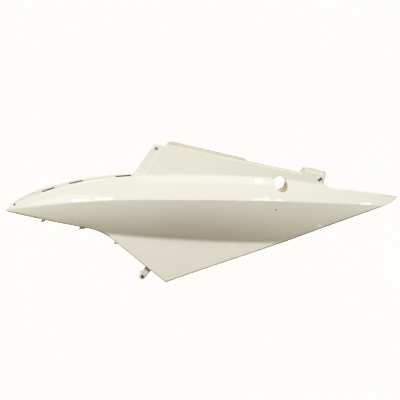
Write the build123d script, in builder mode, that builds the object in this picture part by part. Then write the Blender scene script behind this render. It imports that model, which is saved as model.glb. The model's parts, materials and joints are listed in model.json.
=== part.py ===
from build123d import *
import math
import os

# Left side panel of a scooter, one injection moulding of painted plastic.
# Frame: X runs to the rear, the outer face looks along -Y, Z is up, millimetres.
# The origin is the centre of the front screw hole, on the outer face of its flange.

# Reach of the moulding, its wall and its turned-in rim
nose_x = -291.0
tail_x = 489.0
wall = 2.5
rim_depth = 10.0
touch = 0.02
flange_recess = 3.0
back_y = 120.0
front_y = -90.0

# Ridge, the widest line of the panel, seen from above and from the side
ridge_bow_x = 98.0
ridge_y = -52.7
ridge_nose_in = 72.0
ridge_tail_in = 64.0
ridge_crest_x = -23.0
ridge_z = -87.3
ridge_nose_drop = 29.0
ridge_tail_drop = 47.0
ridge_radius = 4.0

# Shelf above the ridge, which ends in the upper crease
shelf_crest_x = 13.0
shelf_top_z = -49.2
shelf_nose_drop = 65.0
shelf_tail_drop = 72.8
shelf_nose_power = 2.2
shelf_run = 1.0
shelf_bulge = 0.045
upper_crease_radius = 5.0

# Scooped belly under the ridge, which ends in the lower crease
belly_foot_x = 248.0
belly_foot_z = -189.6
belly_nose_rise = 55.4
belly_power = 1.5
belly_deep_x = 88.0
belly_run = 37.0
belly_nose_less = 38.0
belly_tail_less = 44.0
belly_fade = 1.3
belly_bulge = 0.058
lower_crease_radius = 11.0

# Upper panel and lower panel, nearly upright sheets above and below
upper_lean = 0.14
lower_lean = -0.12
upper_reach = 130.0
lower_reach = 150.0

# Where the section is drawn along X, from past the nose to past the tail
stations = (-293.0, -268.0, -230.0, -175.0, -105.0, -25.0, 65.0, 160.0, 260.0, 370.0, 500.0)

# Side outline, clockwise from the nose: corner x, corner z, bulge of the edge that leaves it
nose_z = -119.0
nose_edge_fall = 0.199
knee_x = -110.0
skin_corners = (
    (nose_x, nose_z, 0.058),
    (-225.0, -79.1, 0.0347),
    (-47.0, -46.7, 0.0),
    (-23.7, -48.4, 0.0),
    (19.0, 7.7, 0.0),
    (283.5, -57.3, 0.0),
    (288.9, -51.3, 0.0),
    (333.0, -63.0, 0.0),
    (328.2, -77.4, -0.067),
    (352.0, -89.2, 0.0105),
    (tail_x, -117.0, 0.03),
    (468.0, -126.0, -0.0277),
    (252.0, -188.8, 0.0),
    (13.2, -261.4, 0.0),
    (knee_x, nose_z - nose_edge_fall * (knee_x - nose_x), 0.0),
)
knee_radius = 110.0
toe_radius = 3.0
tail_edge_radius = 150.0
tail_tip_radius = 60.0

# Flanges set back behind the raised skin: front ear, top strip and tab strip
ear_outer = ((-46.9, -46.9), (-40.3, -40.6), (-7.9, 3.4), (-2.5, 9.0), (3.0, 8.7), (17.3, 4.9))
strip_outer = ((18.7, 9.0), (25.0, 13.6), (31.3, 14.1), (170.8, -21.5), (174.1, -26.4))
tab_outer = ((278.5, -52.6), (284.3, -43.9), (299.2, -44.9), (333.5, -55.3), (333.0, -66.0))
flange_foot = ((325.0, -90.0), (0.0, -75.0), (-40.0, -60.0))

# Raised land around the front screw, and small blind pin marks on the flanges
ear_pad = ((-8.2, 2.5), (2.5, -11.8), (18.0, 5.0), (3.0, 10.0), (-2.5, 10.0))
pad_proud = 0.3
pin_marks = ((29.9, 8.0), (36.0, 6.3), (330.5, -57.0), (330.6, -62.0))
pin_radius = 1.1
pin_depth = 1.5

# Screw fixings: clearance hole, tubular standoff behind it, low collar on the face
screw_radius = 2.75
standoff_radius = 6.0
standoff_depth = 25.0
collar_proud = 1.0
rear_screw_x = 320.0
rear_screw_z = -69.8
rear_collar_radius = 7.4
head_well_radius = 4.8
head_well_depth = 13.0
rear_standoff_depth = 20.0

# Seat lock opening, square to the panel, which turns in towards the tail
lock_x = 239.0
lock_z = -72.5
lock_radius = 12.4
lock_sleeve_depth = 18.0
lock_turn = 8.0
lock_mouth_radius = 0.6

# Clip slots just under the brow: middle x, middle z, length, slope
slot_height = 2.6
pocket_depth = 7.0
pocket_wall = 1.5
slots = ((-206.6, -77.2, 26.0, 18.5), (-153.0, -62.2, 26.5, 12.8), (-63.5, -50.8, 29.5, 4.0))
nose_slot = (-271.6, -106.4, 5.0, 40.0)

# Clip fingers under the lower edge: front end x, underside z, length, edge z at the stem
finger_deep = 5.0
finger_thick = 3.0
finger_slit = 3.0
finger_cut_back = 3.5
finger_set_back = 4.0
fingers = ((-224.5, -139.2, 12.2, -134.0), (-151.1, -152.6, 15.3, -149.5), (-85.5, -183.5, 9.9, -179.0))

# Lower tab with its screw hole, set back behind the lower edge
tab_screw_x = -31.2
tab_screw_z = -248.9
tab_face_y = -18.5
tab_radius = 7.4
tab_slant = 54.0
tab_reach = 24.0
tab_thick = 3.0

# Short ribs that brace a screw collar: half spacing, thickness, start and reach from the hole
brace_across = 4.7
brace_thick = 1.2
brace_start = 3.5
front_brace_turn = 37.3
front_brace_reach = 11.5
tab_brace_start = 6.7


def crown(x, crest_x, crest, nose_change, tail_change, nose_power=2.0, tail_power=2.0):
    """A guide value that leaves its crest by a power law towards each tip."""
    if x < crest_x:
        return crest + nose_change * ((crest_x - x) / (crest_x - nose_x)) ** nose_power
    return crest + tail_change * ((x - crest_x) / (tail_x - crest_x)) ** tail_power


def guide_points(x):
    """Upper crease, ridge and lower crease of the section at x, as (y, z)."""
    ridge = Vector(
        crown(x, ridge_bow_x, ridge_y, ridge_nose_in, ridge_tail_in),
        crown(x, ridge_crest_x, ridge_z, -ridge_nose_drop, -ridge_tail_drop),
    )
    shelf_z = crown(x, shelf_crest_x, shelf_top_z, -shelf_nose_drop, -shelf_tail_drop, shelf_nose_power)
    upper = Vector(ridge.X + shelf_run * (shelf_z - ridge.Y), shelf_z)
    foot_z = crown(x, belly_foot_x, belly_foot_z, belly_nose_rise, 0.0, belly_power)
    run = crown(x, belly_deep_x, belly_run, -belly_nose_less, -belly_tail_less, belly_fade, belly_fade)
    lower = Vector(ridge.X + run, foot_z)
    return upper, ridge, lower


def right_of(direction, turn=0.0):
    """Unit normal to the right of a direction that is first turned by an angle in radians."""
    across = Vector(direction.Y, -direction.X).normalized()
    along = direction.normalized()
    return across * math.cos(turn) + along * math.sin(turn)


def parallel_chain(corners, bulges, inset, closed):
    """Corners and arc middles of a chain moved to its right; a positive bulge is to its left."""
    ends = corners[1:] + corners[:1] if closed else corners[1:]
    leaving, arriving, middles = [], [], []
    for start, end, bulge in zip(corners, ends, bulges):
        chord = end - start
        half_turn = 2 * math.atan(2 * bulge)
        leaving.append(right_of(chord, -half_turn))
        arriving.append(right_of(chord, half_turn))
        middles.append((start + end) * 0.5 + right_of(chord) * (inset - bulge * chord.length))
    before = [arriving[-1] if closed else leaving[0]] + arriving
    after = leaving + [arriving[-1]]
    moved = [
        corner + (a + b) * (inset / (1 + a.dot(b)))
        for corner, a, b in zip(corners, before, after)
    ]
    return moved, middles


def draw_chain(corners, middles, bulges):
    """Lines and arcs along a chain, in the order of its corners."""
    ends = corners[1:] + corners[:1]
    for start, middle, end, bulge in zip(corners, middles, ends, bulges):
        if bulge:
            ThreePointArc(start, middle, end)
        else:
            Line(start, end)


def section_face(x, inset):
    """Closed section at x: the outer face moved inward by inset, and a flat back."""
    upper, ridge, lower = guide_points(x)
    head = upper + Vector(upper_lean, 1) * upper_reach
    foot = lower + Vector(lower_lean, -1) * lower_reach
    bulges = (0.0, -shelf_bulge, -belly_bulge, 0.0)
    moved, middles = parallel_chain([head, upper, ridge, lower, foot], bulges, -inset, False)
    shelf_length = (ridge - upper).length
    radii = (
        min(upper_crease_radius, 0.3 * shelf_length) + inset,
        max(min(ridge_radius, 0.35 * shelf_length) - inset, 0.5),
        lower_crease_radius + inset,
    )
    with BuildSketch(Plane.YZ.offset(x)) as section:
        with BuildLine():
            draw_chain(moved, middles, bulges)
            Polyline(moved[4], (back_y, moved[4].Y), (back_y, moved[0].Y), moved[0])
        make_face()
        for corner, radius in zip(moved[1:4], radii):
            fillet(section.vertices().sort_by_distance(corner)[0], radius)
    return section.sketch


def sculpted_block(inset):
    """Everything behind the outer face moved inward by inset."""
    with BuildPart() as block:
        for x in stations:
            add(section_face(x, inset))
        loft()
    return block.part


def outline(inset=0.0):
    """Side outline of the raised skin, moved inward by inset."""
    corners = [Vector(x, z) for x, z, bulge in skin_corners]
    bulges = [bulge for x, z, bulge in skin_corners]
    moved, middles = parallel_chain(corners, bulges, inset, True)
    with BuildSketch(Plane.XZ) as sketch:
        with BuildLine():
            draw_chain(moved, middles, bulges)
        make_face()
        fillet(sketch.vertices().sort_by_distance(moved[-1])[0], knee_radius + inset)
        fillet(sketch.vertices().sort_by_distance(moved[-2])[0], max(toe_radius - inset, 0.5))
        fillet(sketch.vertices().sort_by_distance(moved[-3])[0], tail_edge_radius - inset)
        fillet(sketch.vertices().sort_by_distance(moved[-4])[0], tail_tip_radius - inset)
    return sketch.sketch


def outer_y(x, z):
    """Where the outer face lies across the vehicle, apart from the rounding of its creases."""
    upper, ridge, lower = guide_points(x)
    if z > upper.Y:
        return upper.X + upper_lean * (z - upper.Y)
    if z < lower.Y:
        return lower.X + lower_lean * (lower.Y - z)
    start, end, bulge = (upper, ridge, shelf_bulge) if z > ridge.Y else (ridge, lower, belly_bulge)
    share = (start.Y - z) / (start.Y - end.Y)
    sag = 4 * bulge * (end - start).length * share * (1 - share)
    return start.X + (end.X - start.X) * share - sag


def inward_plane(x, y, z, turn=0.0):
    """A plane across a hole that looks into the panel, turned about the upright."""
    angle = math.radians(turn)
    return Plane(
        origin=(x, y, z),
        x_dir=(math.cos(angle), math.sin(angle), 0),
        z_dir=(-math.sin(angle), math.cos(angle), 0),
    )


def prism(face):
    """Everything across the panel that shows inside a face in the side view."""
    with BuildPart() as solid:
        extrude(face, amount=-front_y, dir=(0, -1, 0))
        extrude(face, amount=back_y, dir=(0, 1, 0))
    return solid.part


def behind(block, depth):
    return block.moved(Location((0, depth, 0)))


def on_lock_mouth(edge):
    """Whether an edge is where the lock opening meets the outer face."""
    middle = edge.position_at(0.5)
    for point in (edge.position_at(0), middle, edge.position_at(1)):
        offset = point - lock_plane.origin
        off_axis = offset - lock_plane.z_dir * offset.dot(lock_plane.z_dir)
        if abs(off_axis.length - lock_radius) > touch:
            return False
    return middle.Y - outer_y(middle.X, middle.Z) < wall


def brace_pair(turn, start, reach):
    """Two parallel ribs that leave a screw hole at an angle, drawn in the open sketch."""
    with Locations(Rotation(0, 0, turn)):
        with Locations((start, brace_across), (start, -brace_across)):
            Rectangle(reach - start, brace_thick, align=(Align.MIN, Align.CENTER))


outer_block = sculpted_block(0.0)
inner_block = sculpted_block(wall)
skin_outline = outline()
cavity_outline = outline(wall)

with BuildSketch(Plane.XZ) as flange_shape:
    with BuildLine():
        Polyline(*ear_outer, *strip_outer, *tab_outer, *flange_foot, ear_outer[0])
    make_face()
    add(cavity_outline, mode=Mode.SUBTRACT)

with BuildPart() as cavity:
    add(inner_block)
    add(prism(cavity_outline), mode=Mode.INTERSECT)

with BuildPart() as behind_flange:
    add(behind(outer_block, flange_recess + wall))
    add(prism(flange_shape.sketch), mode=Mode.INTERSECT)

with BuildPart() as flange:
    add(behind(outer_block, flange_recess))
    add(behind(outer_block, flange_recess + wall), mode=Mode.SUBTRACT)
    add(prism(flange_shape.sketch), mode=Mode.INTERSECT)

with BuildSketch(Plane.XZ) as slot_shapes:
    for x, z, length, slope in slots + (nose_slot,):
        with Locations((x, z)):
            SlotOverall(length, slot_height, rotation=slope)

with BuildSketch(Plane.XZ) as pocket_shapes:
    for x, z, length, slope in slots + (nose_slot,):
        with Locations((x, z)):
            SlotOverall(length + 2 * pocket_wall, slot_height + 2 * pocket_wall, rotation=slope)
    add(skin_outline, mode=Mode.INTERSECT)

with BuildPart() as pockets:
    add(outer_block)
    add(behind(outer_block, pocket_depth + pocket_wall), mode=Mode.SUBTRACT)
    add(prism(pocket_shapes.sketch), mode=Mode.INTERSECT)

with BuildPart() as slot_cuts:
    add(prism(slot_shapes.sketch))
    add(behind(outer_block, pocket_depth), mode=Mode.SUBTRACT)

with BuildSketch(Plane.XZ) as pad_shape:
    with BuildLine():
        Polyline(*ear_pad, ear_pad[0])
    make_face()
    add(flange_shape.sketch, mode=Mode.INTERSECT)

with BuildPart() as pad:
    add(behind(outer_block, flange_recess - pad_proud))
    add(behind(outer_block, flange_recess + wall / 2), mode=Mode.SUBTRACT)
    add(prism(pad_shape.sketch), mode=Mode.INTERSECT)

lock_plane = inward_plane(lock_x, outer_y(lock_x, lock_z), lock_z, lock_turn)
with BuildPart() as lock_sleeve:
    with BuildSketch(lock_plane):
        Circle(lock_radius + wall)
    extrude(amount=lock_sleeve_depth)
    with BuildSketch(lock_plane):
        Circle(lock_radius + wall)
    extrude(amount=front_y)
    add(outer_block, mode=Mode.INTERSECT)

with BuildPart() as side_panel:
    add(outer_block)
    add(behind(outer_block, rim_depth), mode=Mode.SUBTRACT)
    add(prism(skin_outline), mode=Mode.INTERSECT)
    add(cavity.part, mode=Mode.SUBTRACT)
    add(behind_flange.part, mode=Mode.SUBTRACT)
    add(flange.part)
    add(pad.part)

    # Seat lock opening
    add(lock_sleeve.part)
    with BuildSketch(lock_plane):
        Circle(lock_radius)
    extrude(amount=back_y, both=True, mode=Mode.SUBTRACT)
    fillet(side_panel.edges().filter_by(on_lock_mouth), lock_mouth_radius)

    # Front screw
    with BuildSketch(inward_plane(0, -collar_proud, 0)):
        brace_pair(front_brace_turn, brace_start, front_brace_reach)
    extrude(amount=flange_recess)
    with BuildSketch(inward_plane(0, -collar_proud, 0)):
        Circle(standoff_radius)
    extrude(amount=standoff_depth)
    with BuildSketch(inward_plane(0, -collar_proud, 0)):
        Circle(screw_radius)
    extrude(amount=standoff_depth, mode=Mode.SUBTRACT)

    # Rear screw, with a deep well for its head
    rear_face = outer_y(rear_screw_x, rear_screw_z) - collar_proud
    with BuildSketch(inward_plane(rear_screw_x, rear_face, rear_screw_z)):
        Circle(rear_collar_radius)
    extrude(amount=rear_standoff_depth)
    with BuildSketch(inward_plane(rear_screw_x, rear_face, rear_screw_z)):
        Circle(head_well_radius)
    extrude(amount=head_well_depth, mode=Mode.SUBTRACT)
    with BuildSketch(inward_plane(rear_screw_x, rear_face, rear_screw_z)):
        Circle(screw_radius)
    extrude(amount=rear_standoff_depth, mode=Mode.SUBTRACT)

    # Pin marks
    for x, z in pin_marks:
        mark_face = outer_y(x, z) + flange_recess
        with BuildSketch(inward_plane(x, mark_face + pin_depth, z)):
            Circle(pin_radius)
        extrude(amount=-2 * pin_depth, mode=Mode.SUBTRACT)

    # Clip slots, each with a closed pocket behind it
    add(pockets.part)
    add(slot_cuts.part, mode=Mode.SUBTRACT)

    # Clip fingers
    for x, z, length, edge_z in fingers:
        top = edge_z + wall
        at_y = outer_y(x + length, edge_z)
        with BuildSketch(Plane.XZ.offset(-at_y - finger_set_back)):
            with BuildLine():
                Polyline(
                    (x, z),
                    (x, z + finger_thick),
                    (x + finger_slit, z + finger_thick),
                    (x + finger_slit, top),
                    (x + length + 1.0, top),
                    (x + length - finger_cut_back, z),
                    (x, z),
                )
            make_face()
        extrude(amount=-finger_deep)

    # Lower tab
    tab_plane = inward_plane(tab_screw_x, tab_face_y, tab_screw_z)
    with BuildSketch(tab_plane):
        Circle(tab_radius)
        with Locations(Rotation(0, 0, -tab_slant)):
            Rectangle(tab_reach, 2 * tab_radius, align=(Align.MIN, Align.CENTER))
    extrude(amount=tab_thick)
    with BuildSketch(inward_plane(tab_screw_x, tab_face_y - collar_proud, tab_screw_z)):
        brace_pair(-tab_slant, tab_brace_start, tab_reach)
    extrude(amount=tab_thick)
    with BuildSketch(inward_plane(tab_screw_x, tab_face_y - collar_proud, tab_screw_z)):
        Circle(standoff_radius)
    extrude(amount=standoff_depth)
    with BuildSketch(inward_plane(tab_screw_x, tab_face_y - collar_proud, tab_screw_z)):
        Circle(screw_radius)
    extrude(amount=standoff_depth, mode=Mode.SUBTRACT)

os.makedirs("parts", exist_ok=True)
side_panel.part.label = "side_panel"
export_step(side_panel.part, "parts/side_panel.step")
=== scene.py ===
"""Looks of the scooter side panel: its paint, its wear, the studio and the camera.

Every length is in metres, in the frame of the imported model: X runs to the rear of the
scooter, the outer face looks along -Y and Z is up.
"""

import json
import logging
import math
from dataclasses import dataclass, field
from enum import Enum

import bpy
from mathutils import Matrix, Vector

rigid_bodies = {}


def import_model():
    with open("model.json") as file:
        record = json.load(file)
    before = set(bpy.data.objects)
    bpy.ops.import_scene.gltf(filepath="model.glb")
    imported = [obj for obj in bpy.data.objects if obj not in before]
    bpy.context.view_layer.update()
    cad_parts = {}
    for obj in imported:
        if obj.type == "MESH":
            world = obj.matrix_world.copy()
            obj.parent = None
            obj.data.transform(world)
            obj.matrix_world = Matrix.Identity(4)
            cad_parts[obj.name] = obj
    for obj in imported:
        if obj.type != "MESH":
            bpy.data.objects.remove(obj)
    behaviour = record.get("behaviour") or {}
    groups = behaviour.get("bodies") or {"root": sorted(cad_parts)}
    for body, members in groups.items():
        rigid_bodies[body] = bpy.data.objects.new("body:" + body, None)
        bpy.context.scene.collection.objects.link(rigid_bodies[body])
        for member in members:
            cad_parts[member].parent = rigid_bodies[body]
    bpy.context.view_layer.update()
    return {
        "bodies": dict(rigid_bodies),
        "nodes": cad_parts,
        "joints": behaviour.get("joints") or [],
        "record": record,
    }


Tree = bpy.types.NodeTree
Socket = bpy.types.NodeSocket
Triple = tuple[float, float, float]

MM = 0.001
PROBE_RAYS = 8
# Keeps the cream's hue up to the white of the glints.
VIEW_TRANSFORM = "Khronos PBR Neutral"

log = logging.getLogger("side_panel")


def linear(hex_colour: str) -> tuple[float, float, float, float]:
    """Turn an sRGB hex colour into linear values for a shader.

    Args:
        hex_colour: Six hex digits with a leading hash.

    Returns:
        Red, green, blue and alpha, each 0 to 1.
    """
    channels = [int(hex_colour[i : i + 2], 16) / 255 for i in (1, 3, 5)]
    # The sRGB curve: a short straight foot, then a power.
    values = [c / 12.92 if c <= 0.04045 else ((c + 0.055) / 1.055) ** 2.4 for c in channels]
    return (values[0], values[1], values[2], 1.0)


def add_node(
    tree: Tree,
    kind: str,
    settings: dict[str, object] | None = None,
    **inputs: object,
) -> bpy.types.Node:
    """Add one node with its settings, its values and its links.

    Args:
        tree: The node tree that takes the node.
        kind: Blender's name of the node type.
        settings: Properties of the node itself.
        **inputs: A value or an output socket for each input, by the input's name in
            lower case with underscores, or by in_ and its number.

    Returns:
        The new node.
    """
    node = tree.nodes.new(kind)
    for name, value in (settings or {}).items():
        setattr(node, name, value)
    for name, value in inputs.items():
        if name.startswith("in_"):
            socket = node.inputs[int(name[3:])]
        else:
            socket = next(
                s for s in node.inputs if s.enabled and s.name.lower().replace(" ", "_") == name
            )
        if isinstance(value, Socket):
            tree.links.new(value, socket)
        else:
            socket.default_value = value
    return node


class Outline(Enum):
    """Outline of a colour patch."""

    OVAL = "oval"
    BOX = "box"


@dataclass(frozen=True)
class ColourPatch:
    """A small place without lacquer and with its own colour: a mark of use, painted shade or a
    place left cream.

    The reach is measured from the centre to each side, and the turn is in radians. A box
    goes right through the panel, whatever its reach along Y. The softness is the share of
    the reach over which the patch fades.
    """

    centre: Triple
    reach: Triple
    colour: str
    turn: Triple = (0.0, 0.0, 0.0)
    softness: float = 0.35
    outline: Outline = Outline.OVAL

    def spread(self, tree: Tree, place: Socket) -> Socket:
        """Give how strongly the patch shows at each place.

        Args:
            tree: The node tree of the finish.
            place: Coordinates on the moulding in metres.

        Returns:
            1 inside the patch and 0 outside it.
        """
        local = add_node(
            tree,
            "ShaderNodeMapping",
            {"vector_type": "TEXTURE"},
            vector=place,
            location=self.centre,
            rotation=self.turn,
            scale=self.reach,
        )
        if self.outline is Outline.OVAL:
            away = add_node(
                tree, "ShaderNodeVectorMath", {"operation": "LENGTH"}, vector=local.outputs[0]
            )
        else:
            sides = add_node(
                tree, "ShaderNodeVectorMath", {"operation": "ABSOLUTE"}, vector=local.outputs[0]
            )
            side = add_node(tree, "ShaderNodeSeparateXYZ", vector=sides.outputs[0])
            away = add_node(
                tree,
                "ShaderNodeMath",
                {"operation": "MAXIMUM"},
                in_0=side.outputs["X"],
                in_1=side.outputs["Z"],
            )
        return add_node(
            tree,
            "ShaderNodeMapRange",
            value=away.outputs["Value"],
            from_min=1 + self.softness,
            from_max=1 - self.softness,
        ).outputs["Result"]


@dataclass(frozen=True)
class PaintedAbs:
    """Injection-moulded ABS with a two-coat finish sprayed on from outside.

    The cream base coat carries fine pearl, and the clear lacquer over it gives sharp, weak
    reflections with the soft waviness of sprayed paint. The spray reaches the outer face
    and the rims, but not the inside, where the ivory plastic stays bare and matt. Deep,
    narrow recesses such as the screw holes and the ends of the clip slots are given the
    bare, matt plastic as painted shade. A dark line of painted shade runs along low edges
    that face down.
    """

    # Cream base coat and its pearl flakes.
    base: str = "#ECEADC"
    pearl: str = "#F3F1E5"
    pearl_grain: float = 0.6 * MM
    pearl_detail: float = 2.0
    base_roughness: float = 0.42
    base_specular: float = 0.1

    # Clear lacquer, with the pitch and the height of its orange peel.
    lacquer_ior: float = 1.5
    lacquer_roughness: float = 0.04
    peel_pitch: float = 4.0 * MM
    peel_height: float = 0.006 * MM
    peel_detail: float = 1.0

    # Bare ivory plastic with the spark-eroded grain of its mould.
    bare_colour: str = "#BAB29E"
    bare_fleck: str = "#C6BEAC"
    bare_grain: float = 0.8 * MM
    bare_detail: float = 3.0
    bare_roughness: float = 0.6

    # Y of the normal at which the spray misses the surface, and covers it.
    spray_missed: float = 0.35
    spray_covered: float = 0.1
    # Openness within this reach at which a recess stays bare plastic as painted shade, and is
    # painted.
    recess_reach: float = 6.0 * MM
    recess_bare_and_shaded: float = 0.12
    recess_painted_and_lit: float = 0.3

    # Painted shade: a dark line below this height, where the normal and the normal of an edge
    # rounded by this reach part, and the rounded one leans down by this Z.
    edge_shade_colour: str = "#857B5E"
    edge_top: float = -105.0 * MM
    edge_reach: float = 9.0 * MM
    edge_alike: float = 0.995
    edge_parted: float = 0.965
    edge_upright: float = -0.18
    edge_leaning: float = -0.34

    patches: tuple[ColourPatch, ...] = (
        # Painted shade on the rim strip along the top.
        ColourPatch(
            centre=(0.1532, 0.0, -0.0183),
            reach=(0.14, 0.03, 0.006),
            turn=(0.0, 0.234, 0.0),
            colour="#DCD8C6",
            softness=0.02,
            outline=Outline.BOX,
        ),
        # Painted shade on the wall of the lock opening.
        ColourPatch(
            centre=(0.2395, -0.0220, -0.0725),
            reach=(0.0129, 0.1, 0.0129),
            turn=(0.0, 0.0, 0.14),
            colour="#B4AB90",
            softness=0.03,
        ),
        # Near-black painted shade in the screw holes: front, rear and lower.
        ColourPatch(
            centre=(0.0, 0.012, 0.0),
            reach=(0.003, 0.03, 0.003),
            colour="#1F1B15",
            softness=0.05,
        ),
        ColourPatch(
            centre=(0.32, 0.014, -0.0698),
            reach=(0.003, 0.03, 0.003),
            colour="#1F1B15",
            softness=0.05,
        ),
        ColourPatch(
            centre=(-0.0312, -0.007, -0.2489),
            reach=(0.003, 0.06, 0.003),
            colour="#1F1B15",
            softness=0.05,
        ),
        # The two front clip fingers, left cream without the painted edge shade.
        ColourPatch(
            centre=(-0.2184, 0.0, -0.1368),
            reach=(0.0068, 0.03, 0.0028),
            colour="#DAD7C7",
            softness=0.02,
            outline=Outline.BOX,
        ),
        ColourPatch(
            centre=(-0.1434, 0.0, -0.1511),
            reach=(0.008, 0.03, 0.0018),
            colour="#DAD7C7",
            softness=0.02,
            outline=Outline.BOX,
        ),
        # A dark speck and a light scratch.
        ColourPatch(
            centre=(0.2256, -0.0442, -0.1164),
            reach=(0.0016, 0.004, 0.0013),
            colour="#7B7466",
        ),
        ColourPatch(
            centre=(0.3156, -0.0283, -0.1556),
            reach=(0.0072, 0.005, 0.0021),
            turn=(0.0, 0.523, 0.0),
            colour="#FFFFFA",
        ),
    )

    def sprayed(self, tree: Tree, facing: Socket) -> Socket:
        """Give where paint landed on what faces outward, less deep narrow recesses in painted
        shade.

        Args:
            tree: The node tree of the finish.
            facing: Y part of the moulding's own normal.

        Returns:
            1 on painted, unshaded surface and 0 on bare plastic or painted shade.
        """
        toward = add_node(
            tree,
            "ShaderNodeMapRange",
            {"interpolation_type": "SMOOTHSTEP"},
            value=facing,
            from_min=self.spray_missed,
            from_max=self.spray_covered,
        )
        # Painted shade: recesses that are little open get the bare plastic.
        openness = add_node(
            tree,
            "ShaderNodeAmbientOcclusion",
            {"samples": PROBE_RAYS, "only_local": True},
            distance=self.recess_reach,
        )
        reached_and_unshaded = add_node(
            tree,
            "ShaderNodeMapRange",
            {"interpolation_type": "SMOOTHSTEP"},
            value=openness.outputs["AO"],
            from_min=self.recess_bare_and_shaded,
            from_max=self.recess_painted_and_lit,
        )
        return add_node(
            tree,
            "ShaderNodeMath",
            {"operation": "MULTIPLY"},
            in_0=toward.outputs["Result"],
            in_1=reached_and_unshaded.outputs["Result"],
        ).outputs["Value"]

    def shaded_edges(self, tree: Tree, place: Socket) -> Socket:
        """Give where an edge below the ridge rolls over to face down, for a line of painted shade.

        Args:
            tree: The node tree of the finish.
            place: Coordinates on the moulding in metres.

        Returns:
            1 on such edges and 0 elsewhere.
        """
        flat = add_node(tree, "ShaderNodeNewGeometry").outputs["Normal"]
        rounded = add_node(
            tree, "ShaderNodeBevel", {"samples": PROBE_RAYS}, radius=self.edge_reach
        ).outputs["Normal"]
        likeness = add_node(
            tree, "ShaderNodeVectorMath", {"operation": "DOT_PRODUCT"}, in_0=flat, in_1=rounded
        )
        rolled = add_node(
            tree,
            "ShaderNodeMapRange",
            value=likeness.outputs["Value"],
            from_min=self.edge_alike,
            from_max=self.edge_parted,
        )
        slope = add_node(tree, "ShaderNodeSeparateXYZ", vector=rounded)
        downward = add_node(
            tree,
            "ShaderNodeMapRange",
            value=slope.outputs["Z"],
            from_min=self.edge_upright,
            from_max=self.edge_leaning,
        )
        height = add_node(tree, "ShaderNodeSeparateXYZ", vector=place)
        low = add_node(
            tree,
            "ShaderNodeMapRange",
            value=height.outputs["Z"],
            from_min=self.edge_top,
            from_max=self.edge_top - self.edge_reach,
        )
        edge = rolled.outputs["Result"]
        for limit in (downward, low):
            edge = add_node(
                tree,
                "ShaderNodeMath",
                {"operation": "MULTIPLY"},
                in_0=edge,
                in_1=limit.outputs["Result"],
            ).outputs["Value"]
        return edge

    def build(self) -> bpy.types.Material:
        """Make the finish.

        Returns:
            The finished material.
        """
        material = bpy.data.materials.new("cream_gloss_paint_on_moulded_abs")
        material.use_nodes = True
        tree = material.node_tree
        tree.nodes.clear()
        coordinates = add_node(tree, "ShaderNodeTexCoord")
        place = coordinates.outputs["Object"]
        facing = add_node(tree, "ShaderNodeSeparateXYZ", vector=coordinates.outputs["Normal"])
        # Paint mask, which also lays painted shade into deep narrow recesses by their openness.
        painted = self.sprayed(tree, facing.outputs["Y"])
        # Pearl flakes in the base coat, only just seen: real ones are under 0.1 mm and
        # are drawn coarser here, so that they show at all.
        flakes = add_node(
            tree,
            "ShaderNodeTexNoise",
            vector=place,
            scale=1 / self.pearl_grain,
            detail=self.pearl_detail,
        )
        cream = add_node(
            tree,
            "ShaderNodeMix",
            {"data_type": "RGBA"},
            factor=flakes.outputs["Fac"],
            in_6=linear(self.base),
            in_7=linear(self.pearl),
        ).outputs["Result"]
        grain = add_node(
            tree,
            "ShaderNodeTexNoise",
            vector=place,
            scale=1 / self.bare_grain,
            detail=self.bare_detail,
        )
        plastic = add_node(
            tree,
            "ShaderNodeMix",
            {"data_type": "RGBA"},
            factor=grain.outputs["Fac"],
            in_6=linear(self.bare_colour),
            in_7=linear(self.bare_fleck),
        ).outputs["Result"]
        coated = add_node(
            tree, "ShaderNodeMix", {"data_type": "RGBA"}, factor=painted, in_6=plastic, in_7=cream
        ).outputs["Result"]
        # A dark line of painted shade along low edges that face down.
        colour = add_node(
            tree,
            "ShaderNodeMix",
            {"data_type": "RGBA"},
            factor=self.shaded_edges(tree, place),
            in_6=coated,
            in_7=linear(self.edge_shade_colour),
        ).outputs["Result"]
        lacquered = painted
        for patch in self.patches:
            spread = patch.spread(tree, place)
            colour = add_node(
                tree,
                "ShaderNodeMix",
                {"data_type": "RGBA"},
                factor=spread,
                in_6=colour,
                in_7=linear(patch.colour),
            ).outputs["Result"]
            lacquered = add_node(
                tree, "ShaderNodeMix", factor=spread, in_2=lacquered, in_3=0.0
            ).outputs["Result"]
        roughness = add_node(
            tree,
            "ShaderNodeMix",
            factor=painted,
            in_2=self.bare_roughness,
            in_3=self.base_roughness,
        )
        peel = add_node(
            tree,
            "ShaderNodeTexNoise",
            vector=place,
            scale=1 / self.peel_pitch,
            detail=self.peel_detail,
        )
        waves = add_node(
            tree,
            "ShaderNodeBump",
            strength=1.0,
            distance=self.peel_height,
            height=peel.outputs["Fac"],
        )
        finish = add_node(
            tree,
            "ShaderNodeBsdfPrincipled",
            base_color=colour,
            roughness=roughness.outputs["Result"],
            ior=self.lacquer_ior,
            specular_ior_level=self.base_specular,
            coat_weight=lacquered,
            coat_roughness=self.lacquer_roughness,
            coat_ior=self.lacquer_ior,
            coat_normal=waves.outputs["Normal"],
        )
        add_node(tree, "ShaderNodeOutputMaterial", surface=finish.outputs["BSDF"])
        return material


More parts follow.
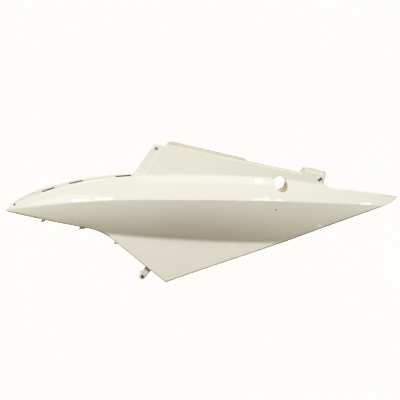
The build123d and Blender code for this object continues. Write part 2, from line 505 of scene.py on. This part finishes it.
@dataclass(frozen=True)
class WhitePaperSweep:
    """Matt white studio paper, rolled down a wall and over the floor without a fold.

    The paper itself glows, painted light in place of a lamp behind it, and so burns the round
    patch behind the panel out to plain white. Its
    """

    colour: str = "#E9DFCA"
    roughness: float = 0.9
    specular: float = 0.2
    glow_centre: Triple = (0.5, 3.2, -0.9)
    full_glow: float = 1.55
    no_glow: float = 2.1
    glow_colour: str = "#FFFFFF"
    glow_strength: float = 5.0

    def build(self) -> bpy.types.Material:
        """Make the paper.

        Returns:
            The finished material.
        """
        material = bpy.data.materials.new("white_studio_paper")
        material.use_nodes = True
        tree = material.node_tree
        tree.nodes.clear()
        place = add_node(tree, "ShaderNodeTexCoord").outputs["Object"]
        away = add_node(
            tree,
            "ShaderNodeVectorMath",
            {"operation": "DISTANCE"},
            in_0=place,
            in_1=self.glow_centre,
        )
        glow = add_node(
            tree,
            "ShaderNodeMapRange",
            {"interpolation_type": "SMOOTHSTEP"},
            value=away.outputs["Value"],
            from_min=self.no_glow,
            from_max=self.full_glow,
            to_max=self.glow_strength,
        )
        paper = add_node(
            tree,
            "ShaderNodeBsdfPrincipled",
            base_color=linear(self.colour),
            roughness=self.roughness,
            specular_ior_level=self.specular,
            emission_color=linear(self.glow_colour),
            emission_strength=glow.outputs["Result"],
        )
        add_node(tree, "ShaderNodeOutputMaterial", surface=paper.outputs["BSDF"])
        return material


@dataclass
class SidePanel:
    """The painted moulding, which the CAD frame carries."""

    node: str = "side_panel"
    finish: PaintedAbs = field(default_factory=PaintedAbs)

    def dress(self, frame: dict[str, object]) -> None:
        """Give the moulding its finish.
        """
        panel = frame["nodes"][self.node]
        panel.data.materials.clear()
        panel.data.materials.append(self.finish.build())
        log.info("%s is painted", self.node)


class Use(Enum):
    """What a studio light is for: to light the colour, or to be mirrored in the lacquer."""

    MATT = "matt"
    GLOSS = "gloss"


@dataclass(frozen=True)
class SoftBox:
    """One rectangular studio light, which hangs at a place and is turned to its aim."""

    name: str
    place: Triple
    aim: Triple
    size: tuple[float, float]
    watts: float
    use: Use

    def build(self) -> None:
        """Hang the light at its place and turn it to its aim."""
        data = bpy.data.lights.new(self.name, "AREA")
        data.shape = "RECTANGLE"
        data.size, data.size_y = self.size
        data.energy = self.watts
        lamp = bpy.data.objects.new(self.name, data)
        lamp.location = self.place
        sight = Vector(self.aim) - Vector(self.place)
        lamp.rotation_euler = sight.to_track_quat("-Z", "Y").to_euler()
        lamp.visible_diffuse = self.use is Use.MATT
        lamp.visible_glossy = self.use is Use.GLOSS
        bpy.context.scene.collection.objects.link(lamp)
        log.info("%s hangs at %s", self.name, self.place)


@dataclass
class Studio:
    """Paper sweep, soft lights and a plain surround.

    The sweep lies flat from its front edge, bends up and runs to its top. The surround has
    one strength as a light and another where a view sees it.
    """

    floor_z: float = -1.6
    half_width: float = 4.0
    front_y: float = -3.0
    bend_y: float = 3.6
    bend_radius: float = 1.2
    top_z: float = 4.0
    bend_steps: int = 24
    surround: str = "#F7F3EA"
    surround_light: float = 0.042
    surround_seen: float = 0.5
    paper: WhitePaperSweep = field(default_factory=WhitePaperSweep)
    lamps: tuple[SoftBox, ...] = (
        # These two light the colour.
        SoftBox("key_box", (-0.34, -1.57, 1.99), (0.08, 0.0, -0.1), (2.2, 1.4), 95.0, Use.MATT),
        SoftBox("tail_fill", (2.25, -0.67, 1.27), (0.4, 0.0, -0.1), (0.6, 0.6), 4.5, Use.MATT),
        # These give the lacquer its broad sheen and the patch beside the lock opening.
        SoftBox("top_box", (0.5, -0.05, 2.3), (0.5, 0.0, -0.07), (1.5, 0.5), 11.0, Use.GLOSS),
        SoftBox("nose_box", (-1.45, -0.8, 1.8), (-0.18, 0.0, -0.09), (0.8, 0.8), 12.0, Use.GLOSS),
        SoftBox("band_lamp", (1.04, -0.02, 2.17), (1.04, 0.0, -0.07), (0.11, 0.32), 6.0, Use.GLOSS),
        # These draw the three glints along the ridge.
        SoftBox(
            name="nose_strip_a",
            place=(-1.07, -1.14, 1.81),
            aim=(-0.13, -0.03, -0.09),
            size=(0.52, 0.16),
            watts=16.0,
            use=Use.GLOSS,
        ),
        SoftBox(
            name="nose_strip_b",
            place=(-0.87, -1.15, 1.88),
            aim=(-0.09, -0.03, -0.09),
            size=(0.27, 0.15),
            watts=8.0,
            use=Use.GLOSS,
        ),
        SoftBox(
            name="mid_strip_a",
            place=(1.10, -1.17, 1.82),
            aim=(0.2, -0.045, -0.1),
            size=(0.19, 0.13),
            watts=4.5,
            use=Use.GLOSS,
        ),
        SoftBox(
            name="mid_strip_b",
            place=(1.26, -1.17, 1.75),
            aim=(0.22, -0.045, -0.1),
            size=(0.2, 0.13),
            watts=4.5,
            use=Use.GLOSS,
        ),
        SoftBox(
            name="tail_strip",
            place=(2.12, -0.755, 1.40),
            aim=(0.4, 0.0, -0.12),
            size=(0.38, 0.14),
            watts=10.0,
            use=Use.GLOSS,
        ),
    )

    def sweep_profile(self) -> list[tuple[float, float]]:
        """Give the line of the sweep seen from its side.

        Returns:
            The (y, z) points from its front edge up to its top.
        """
        centre_y = self.bend_y - self.bend_radius
        centre_z = self.floor_z + self.bend_radius
        bend = [
            (
                centre_y + self.bend_radius * math.sin(turn),
                centre_z - self.bend_radius * math.cos(turn),
            )
            for turn in (math.pi / 2 * i / self.bend_steps for i in range(self.bend_steps + 1))
        ]
        return [(self.front_y, self.floor_z)] + bend + [(self.bend_y, self.top_z)]

    def build(self) -> None:
        """Build the sweep."""
        profile = self.sweep_profile()
        corners = [(x, y, z) for y, z in profile for x in (-self.half_width, self.half_width)]
        faces = [(2 * i, 2 * i + 1, 2 * i + 3, 2 * i + 2) for i in range(len(profile) - 1)]
        mesh = bpy.data.meshes.new("paper_sweep")
        mesh.from_pydata(corners, [], faces)
        mesh.shade_smooth()
        mesh.materials.append(self.paper.build())
        sweep = bpy.data.objects.new("paper_sweep", mesh)
        bpy.context.scene.collection.objects.link(sweep)
        log.info("the paper sweep is built")

    def light(self) -> None:
        """Set the surround and hang the soft lights."""
        world = bpy.data.worlds.new("surround")
        world.use_nodes = True
        tree = world.node_tree
        tree.nodes.clear()
        # A pale room around the sweep, which lights the panel only a little.
        seen = add_node(tree, "ShaderNodeLightPath").outputs["Is Camera Ray"]
        strength = add_node(
            tree,
            "ShaderNodeMapRange",
            value=seen,
            to_min=self.surround_light,
            to_max=self.surround_seen,
        )
        room = add_node(
            tree,
            "ShaderNodeBackground",
            color=linear(self.surround),
            strength=strength.outputs["Result"],
        )
        add_node(tree, "ShaderNodeOutputWorld", surface=room.outputs["Background"])
        bpy.context.scene.world = world
        for lamp in self.lamps:
            lamp.build()


@dataclass(frozen=True)
class PhotoCamera:
    """Camera at the photograph's angle: a little to the front of the panel and above it."""

    place: Triple = (-0.15162, -1.91780, 0.41385)
    aim: Triple = (0.08381, -0.00035, -0.10379)
    lens_mm: float = 92.975
    sensor_mm: float = 36.0

    def build(self) -> None:
        """Make the scene's camera."""
        data = bpy.data.cameras.new("photo_camera")
        data.lens = self.lens_mm
        data.sensor_width = self.sensor_mm
        camera = bpy.data.objects.new("photo_camera", data)
        camera.location = self.place
        sight = Vector(self.aim) - Vector(self.place)
        camera.rotation_euler = sight.to_track_quat("-Z", "Y").to_euler()
        bpy.context.scene.collection.objects.link(camera)
        bpy.context.scene.camera = camera
        log.info("the camera stands at %s", self.place)


def main() -> None:
    """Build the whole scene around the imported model."""
    logging.basicConfig(level=logging.INFO, format="%(message)s")
    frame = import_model()
    bpy.context.scene.view_settings.view_transform = VIEW_TRANSFORM
    SidePanel().dress(frame)
    studio = Studio()
    studio.build()
    studio.light()
    PhotoCamera().build()


if __name__ == "__main__":
    main()
